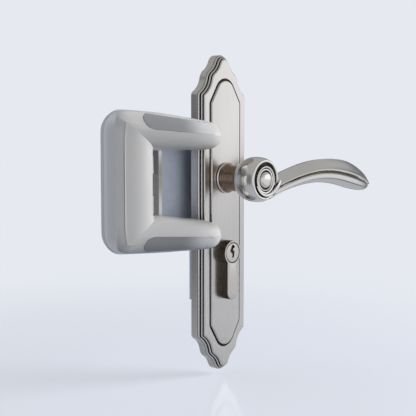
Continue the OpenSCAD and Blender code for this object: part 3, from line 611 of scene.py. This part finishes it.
# The C as it lies square to the hinge: its spine, its two corners and its tapering arms.
SPINE_INNER, SPINE_OUTER, SPINE_STOPS = 8.4, -28.6, (16, 6, -6, -16)
GUARD_TOP, GUARD_FOOT, CORNER_ROUND, CORNER_STEPS = 49.6, -47.6, 14.5, 8
UPPER_INNER, UPPER_ROUND, LOWER_INNER, LOWER_ROUND = 20.3, 2, -19.6, 4
ARM_STOPS = [64.6, 64.2, 63.4, 62, 60, 57.5, 54.5, 51, 44, 37, 30, 23, 18, 14.5]
ARM_HALF, ARM_TAPER, UPPER_ARM, LOWER_ARM, ARM_LEAN = 13.6, 0.065, 36, -35, 0.077
TIP_FROM, TIP_LENGTH, TIP_DEPTH = 50, 14.9, 0.55
THIN_FROM, THIN_OVER, THIN_BY = 34, 31, 0.3
# Grip pads as arcs along the arm and across it: start and turn, then middle and half size.
PAD_ARCS = [(180, -90, (1.5, 5.2), (0.55, 0.27)), (90, -180, (51, 6), (0.44, 0.38)),
            (270, -90, (5.5, 9.2), (0.55, 0.49))]
PAD_MIDDLE, PAD_HALF, PAD_END, PAD_STEPS, PAD_FRONT = (24, 0.45), (28, 0.4), 54, 12, -20
PAD_GAP, POCKET_FLOOR, PAD_FLOOR, PAD_PROUD = 0.15, -2.3, -4.8, 1.015
# Windows for the leaf's two knuckles.
KNUCKLE_FEET, KNUCKLE_HEIGHT, KNUCKLE_ROUND = (-22.4, 5.6), 12.8, 5
KNUCKLE_SLOT, KNUCKLE_SLOT_AT = (19.8, 9), (2.1, 4.5)


def guard_arm(x, up):
    """Inner and outer edge of an arm at a place along it, and its share of the full depth."""
    round_off = (1 - (max(x - TIP_FROM, 0) / TIP_LENGTH) ** 3) ** (1 / 3)
    middle = (UPPER_ARM if up else LOWER_ARM) - ARM_LEAN * x
    reach = (ARM_HALF - ARM_TAPER * x) * round_off * (1 if up else -1)
    thinned = 1 - THIN_BY * (max(x - THIN_FROM, 0) / THIN_OVER) ** 2
    return (Vector((x, middle - reach)), Vector((x, middle + reach)),
            (TIP_DEPTH + (1 - TIP_DEPTH) * round_off) * thinned)


def guard_corner(degrees, inner, inner_round, outer, outer_round):
    """Inner and outer edge at an angle round a corner, and where they lie if it is square."""
    step = polar(degrees)
    square = step / max(abs(step.x), abs(step.y))
    return (inner + inner_round * step, outer + outer_round * step,
            inner + inner_round * square, outer + outer_round * square)


def corner_share(inner, outer):
    """Where the straight line down the spine's front edge crosses a stop."""
    return 2 * (inner.x - FRONT_EDGE) / (inner.x - outer.x) - 1


# Stops along the C: inner and outer edge, the same if square, depth, share of the spine, and
# where the front corner lies.
guard_line = []
for x in ARM_STOPS:
    inner, outer, deep = guard_arm(x, True)
    guard_line.append((inner, outer, inner, outer, deep, 0, ARM_CORNER))
for i in range(CORNER_STEPS + 1):
    edges = guard_corner(90 + 90 * i / CORNER_STEPS,
                         Vector((SPINE_INNER + UPPER_ROUND, UPPER_INNER)), UPPER_ROUND,
                         Vector((SPINE_OUTER + CORNER_ROUND, GUARD_TOP - CORNER_ROUND)),
                         CORNER_ROUND)
    past_mitre = i > CORNER_STEPS / 2
    share = corner_share(*edges[:2]) if past_mitre else ARM_CORNER + CORNER_DRIFT * i
    guard_line.append((*edges, 1, i / CORNER_STEPS, share))
for z in SPINE_STOPS:
    edges = Vector((SPINE_INNER, z)), Vector((SPINE_OUTER, z))
    guard_line.append((*edges, *edges, 1, 1, corner_share(*edges)))
for i in reversed(range(CORNER_STEPS + 1)):
    edges = guard_corner(270 - 90 * i / CORNER_STEPS,
                         Vector((SPINE_INNER + LOWER_ROUND, LOWER_INNER)), LOWER_ROUND,
                         Vector((SPINE_OUTER + CORNER_ROUND, GUARD_FOOT + CORNER_ROUND)),
                         CORNER_ROUND)
    past_mitre = i > CORNER_STEPS / 2
    share = corner_share(*edges[:2]) if past_mitre else ARM_CORNER + CORNER_DRIFT * i
    guard_line.append((*edges, 1, i / CORNER_STEPS, share))
for x in reversed(ARM_STOPS):
    inner, outer, deep = guard_arm(x, False)
    guard_line.append((inner, outer, inner, outer, deep, 0, ARM_CORNER))


def guard_sweep(arm_face, spine_face, swell=1.0):
    """A shell round the C, with the arm's section turning to the spine's in the corners."""
    rings = []
    for inner, outer, square_inner, square_outer, deep, spine, corner in guard_line:
        mixed = [Vector(arm).lerp(Vector(back), spine)
                 for arm, back in zip(arm_face, spine_face)]
        ring = []
        for k, (t, y) in enumerate(mixed):
            if len(mixed) > FRONT_CORNER:
                first, last = mixed[CREST][0], mixed[FRONT_CORNER][0]
                if CREST < k <= FRONT_CORNER:
                    t = first + (t - first) * (corner - first) / (last - first)
                elif FRONT_CORNER < k < len(mixed) - len(OUTER_FOOT):
                    t = corner + (t - last) * (1 - corner) / (1 - last)
            soft = inner.lerp(outer, (t + 1) / 2)
            square = square_inner.lerp(square_outer, (t + 1) / 2)
            spot = soft.lerp(square, min(max((SQUARE_TO - t) / SQUARE_OVER, 0), 1))
            ring.append(Vector((spot.x, PART_Y + y * deep * swell, spot.y)))
        rings.append(ring)
    bm = bmesh.new()
    return bm, sweep(bm, rings)


def guard_place(bm):
    """Turns a piece drawn square to the guard into its place on the hinge."""
    bmesh.ops.transform(bm, verts=bm.verts, matrix=Matrix.Translation(HINGE_AT)
                        @ Matrix.Rotation(radians(HINGE_TURN), 4, "Z"))


def front_skin(swell=1.0):
    """The front shell's skin, with sharp crests, spine corner, front line and mitres."""
    bm, drawn = guard_sweep(ARM_FACE, SPINE_FACE, swell)
    weight = bm.edges.layers.float.new("crease_edge")
    for i, (ring, after) in enumerate(zip(drawn, drawn[1:])):
        spine = guard_line[i][5]
        for corner, sharp in ((CREST, 0.6 * (1 - spine)), (FRONT_LINE, 0.5 * (spine == 1)),
                              (FRONT_CORNER, 1.0 * (min(spine, guard_line[i + 1][5]) >= 0.5))):
            bm.edges.get((ring[corner], after[corner]))[weight] = sharp
        if spine == 0.5:
            for k in range(len(INNER_FOOT), FRONT_CORNER):
                bm.edges.get((ring[k], ring[k + 1]))[weight] = 0.8
    guard_place(bm)
    return bm


def applied(piece):
    """Makes a piece's modifiers part of its mesh."""
    shape = bpy.data.meshes.new_from_object(
        piece.evaluated_get(bpy.context.evaluated_depsgraph_get()))
    piece.modifiers.clear()
    piece.data = shape


def smooth_skin(piece):
    """Rounds a piece with a subdivision surface."""
    skin = piece.modifiers.new("skin", "SUBSURF")
    skin.levels = skin.render_levels = 2
    applied(piece)


def cut(piece, bm, how="DIFFERENCE"):
    """Cuts a piece with a solid drawn square to the guard, or keeps only what they share."""
    guard_place(bm)
    tool = as_object(bm, "cutter")
    knife = piece.modifiers.new("cut", "BOOLEAN")
    knife.operation, knife.object, knife.solver = how, tool, "EXACT"
    applied(piece)
    bpy.data.objects.remove(tool)
    shade(piece.data, 30)


def pad_prism(up, spread, floor):
    """A block with the outline of a grip pad, to cut a pad or its pocket with."""
    bm = bmesh.new()
    verts = []
    for start, turn, (middle_x, half_x), (middle_t, half_t) in PAD_ARCS:
        for i in range(PAD_STEPS + 1):
            spot = polar(start + turn * i / PAD_STEPS)
            x, t = middle_x + half_x * spot.x, middle_t + half_t * spot.y
            inner, outer, _ = guard_arm(min(x, PAD_END), up)
            middle, reach = (inner + outer) / 2, (outer - inner) / 2
            wider = 1 + spread / abs(reach.y) / PAD_HALF[1]
            t = PAD_MIDDLE[1] + (t - PAD_MIDDLE[1]) * wider
            x = PAD_MIDDLE[0] + (x - PAD_MIDDLE[0]) * (1 + spread / PAD_HALF[0])
            verts.append(bm.verts.new((x, PAD_FRONT, (middle + reach * t).y)))
    thicken(bm, [bm.faces.new(verts)], floor - PAD_FRONT)
    return bm


def cut_hinge(piece):
    """Opens the two windows in which the leaf's knuckles turn."""
    for foot in KNUCKLE_FEET:
        middle = foot + KNUCKLE_HEIGHT / 2
        bm = bmesh.new()
        bmesh.ops.create_cube(bm, matrix=Matrix.Translation((*KNUCKLE_SLOT_AT, middle))
                              @ Matrix.Diagonal((*KNUCKLE_SLOT, KNUCKLE_HEIGHT, 1)))
        cut(piece, bm)
        bm = bmesh.new()
        bmesh.ops.create_cone(bm, cap_ends=True, segments=48, radius1=KNUCKLE_ROUND,
                              radius2=KNUCKLE_ROUND, depth=KNUCKLE_HEIGHT,
                              matrix=Matrix.Translation((0, 0, middle)))
        cut(piece, bm)


front_shell = seat(front_skin(), "guard_front_shell_moulded", "guard", white_abs,
                   ["guard_front_shell"], crisp=40)
smooth_skin(front_shell)
for up in (True, False):
    cut(front_shell, pad_prism(up, PAD_GAP, POCKET_FLOOR))
cut_hinge(front_shell)

bm, _ = guard_sweep(REAR_FACE, REAR_FACE)
guard_place(bm)
# The rear moulding is painted a shade greyer as painted shade, and is less glossy, so the parting
# line shows.
rear_abs_painted_shade = moulded_finish("white_ABS_painted_grey_shade_moulded", "#C9CACE", "#C1C2C7", 0.35, 2.5, 0.06)
rear_shell = seat(bm, "guard_rear_shell_moulded", "guard", rear_abs_painted_shade,
                  ["guard_rear_shell"], crisp=40)
smooth_skin(rear_shell)
cut_hinge(rear_shell)
dress(black_oxide, "shell_screws")

# Grip pads: soft grey rubber keys let into the outer half of each arm, each on a small
# spring. They are flush with the crest and are painted lighter to the white of the tip, as
# painted light.
FADE_ORIGIN, FADE_FROM, FADE_TO = 0.0813, 0.028, 0.05
# Satin thermoplastic rubber: even mid grey with a fine spark-eroded grain; towards the tip
# it is painted lighter to white, painted light where the tip meets the light.
grip = moulded_finish("satin_TPE_rubber_painted_light_to_the_tip", "#B3B4B7", "#ABACB0", 0.38, 0.7, 0.15)
tree = grip.node_tree
base = tree.nodes["Principled BSDF"].inputs["Base Color"]
place = add(tree, "ShaderNodeTexCoord", {}).outputs["Object"]
turned = add(tree, "ShaderNodeMapping", {"Vector": place, "Location": (FADE_ORIGIN, 0, 0),
                                         "Rotation": (0, 0, radians(-HINGE_TURN))})
apart = add(tree, "ShaderNodeSeparateXYZ", {0: turned.outputs[0]})
fade = add(tree, "ShaderNodeMapRange", {0: apart.outputs[0], 1: FADE_FROM, 2: FADE_TO},
           interpolation_type="SMOOTHSTEP")
faded = add(tree, "ShaderNodeMix", {0: fade.outputs[0], 6: base.links[0].from_socket,
                                    7: colour("#F1F2F4")}, data_type="RGBA")
tree.links.new(faded.outputs[2], base)
for name, up in (("upper", True), ("lower", False)):
    pad = seat(front_skin(PAD_PROUD), name + "_pad_moulded", name + "_button", grip,
               [name + "_pad"], crisp=40)
    smooth_skin(pad)
    cut(pad, pad_prism(up, 0, PAD_FLOOR), "INTERSECT")
dress(spring_wire, "upper_pad_spring", "lower_pad_spring")
# The bumpers in the tips are the same rubber, darker and without the fade.
dress(moulded_finish("grey_TPE_bumper", "#8E9196", "#85888E", 0.45, 0.7, 0.15), "tip_bumpers")

# Studio: a pale polished floor just under the plate that fades into a pale surround. A broad
# soft lamp in front on the right lights the plastic and isn't mirrored in the metal, a faint
# strip lamp beside it is, and the camera stands a little above the lever.
FLOOR_Z, FLOOR_HALF = -0.1478, 6
FLOOR_SEEN, FLOOR_MIRRORED = 0.62, 0.36
PALE = "#E6E9F0"
scene = bpy.context.scene
bm = bmesh.new()
bmesh.ops.create_grid(bm, x_segments=24, y_segments=24, size=FLOOR_HALF)
bmesh.ops.translate(bm, vec=(0, 0, FLOOR_Z), verts=bm.verts)
mesh = bpy.data.meshes.new("floor")
bm.to_mesh(mesh)
bm.free()
floor = bpy.data.objects.new("floor", mesh)
scene.collection.objects.link(floor)
# Polished pale stone floor: cool pale grey with a faint cloud, shown near-white.
finish, tree, shader = new_finish("polished_pale_stone", Roughness=0.12, IOR=1.25)
place = add(tree, "ShaderNodeTexCoord", {}).outputs["Object"]
cloud = add(tree, "ShaderNodeTexNoise", {"Vector": place, "Scale": 6, "Detail": 3})
tone = add(tree, "ShaderNodeMix", {0: cloud.outputs[0], 6: colour("#989DA6"),
                                   7: colour("#9EA3AC")}, data_type="RGBA")
tree.links.new(tone.outputs[2], shader.inputs["Base Color"])
away = add(tree, "ShaderNodeVectorMath", {0: place}, operation="LENGTH").outputs["Value"]
# The polish is worn off away from the middle, so lamps leave no mark on the floor.
polish = add(tree, "ShaderNodeMapRange", {0: away, 1: 0.2, 2: 0.5, 3: 0.5, 4: 0.0},
             interpolation_type="SMOOTHSTEP")
tree.links.new(polish.outputs[0], shader.inputs["Specular IOR Level"])
path = add(tree, "ShaderNodeLightPath", {})
lift = add(tree, "ShaderNodeMath", {0: path.outputs["Is Camera Ray"], 1: FLOOR_SEEN},
           operation="MULTIPLY")
glow = add(tree, "ShaderNodeMath", {0: path.outputs["Is Glossy Ray"], 1: FLOOR_MIRRORED,
                                    2: lift.outputs[0]}, operation="MULTIPLY_ADD")
shader.inputs["Emission Color"].default_value = colour("#E4E8F0")
tree.links.new(glow.outputs[0], shader.inputs["Emission Strength"])
# Further out the floor clears to the surround, so no edge or horizon shows.
fade = add(tree, "ShaderNodeMapRange", {0: away, 1: 0.15, 2: 0.55},
           interpolation_type="SMOOTHSTEP")
clear = add(tree, "ShaderNodeBsdfTransparent", {})
blend = add(tree, "ShaderNodeMixShader", {0: fade.outputs[0], 1: shader.outputs[0],
                                          2: clear.outputs[0]})
tree.links.new(blend.outputs[0], tree.nodes["Material Output"].inputs["Surface"])
mesh.materials.append(finish)

world = bpy.data.worlds.new("pale_studio")
world.use_nodes = True
scene.world = world
tree = world.node_tree
# Seen directly the surround is pale all round. Metal also shows a dark side behind the plate
# and a dim ceiling and ground, and as light it is a soft fill from the back left.
ray = add(tree, "ShaderNodeTexCoord", {}).outputs["Generated"]
path = add(tree, "ShaderNodeLightPath", {})
apart = add(tree, "ShaderNodeSeparateXYZ", {0: ray})
mirrored = colour(PALE)
for axis, start, end, dim in ((1, -0.5, 0.05, "#7D7F85"), (2, 0.25, 0.6, "#B8B8B8"),
                              (2, -0.2, -0.5, "#B0B3B8")):
    share = add(tree, "ShaderNodeMapRange", {0: apart.outputs[axis], 1: start, 2: end},
                interpolation_type="SMOOTHSTEP")
    mirrored = add(tree, "ShaderNodeMix", {0: share.outputs[0], 6: mirrored, 7: colour(dim)},
                   data_type="RGBA").outputs[2]
shown = add(tree, "ShaderNodeMix", {0: path.outputs["Is Camera Ray"], 6: mirrored,
                                    7: colour(PALE)}, data_type="RGBA")
back_left = add(tree, "ShaderNodeVectorMath", {0: ray, 1: (-0.45, 0.87, 0.2)},
                operation="DOT_PRODUCT")
fill = add(tree, "ShaderNodeMapRange", {0: back_left.outputs["Value"], 1: 0.1, 2: 0.9, 3: 0.03,
                                        4: 1.0})
cool = add(tree, "ShaderNodeVectorMath", {0: fill.outputs[0], 1: (0.93, 0.98, 1.07)},
           operation="MULTIPLY")
seen = path.outputs["Is Camera Ray"]
for kind in ("Is Glossy Ray", "Is Transmission Ray"):
    seen = add(tree, "ShaderNodeMath", {0: seen, 1: path.outputs[kind]},
               operation="MAXIMUM").outputs[0]
tone = add(tree, "ShaderNodeMix", {0: seen, 6: cool.outputs[0], 7: shown.outputs[2]},
           data_type="RGBA")
tree.links.new(tone.outputs[2], tree.nodes["Background"].inputs["Color"])


def soft_lamp(name, place, aim, width, height, watts):
    """A rectangular lamp, in metres, turned towards a point."""
    lamp = bpy.data.lights.new(name, "AREA")
    lamp.shape, lamp.size, lamp.size_y, lamp.energy = "RECTANGLE", width, height, watts
    holder = bpy.data.objects.new(name, lamp)
    holder.location = place
    holder.rotation_euler = (Vector(aim) - Vector(place)).to_track_quat("-Z", "Y").to_euler()
    scene.collection.objects.link(holder)
    return holder


key = soft_lamp("key_lamp", (1.11, -0.87, 0.51), (-0.05, -0.02, 0.0), 0.7, 0.7, 24)
key.visible_glossy = False
soft_lamp("right_lamp", (1.30, -0.72, 0.16), (-0.02, -0.02, 0.0), 1.4, 0.45, 1.0)

camera = bpy.data.objects.new("camera", bpy.data.cameras.new("camera"))
camera.data.lens, camera.data.sensor_width = 87.88, 36
camera.location = (-0.5638, -0.5014, 0.0468)
camera.rotation_euler = (radians(84.71), 0, radians(-48))
scene.collection.objects.link(camera)
scene.camera = camera
scene.view_settings.view_transform = "Standard"
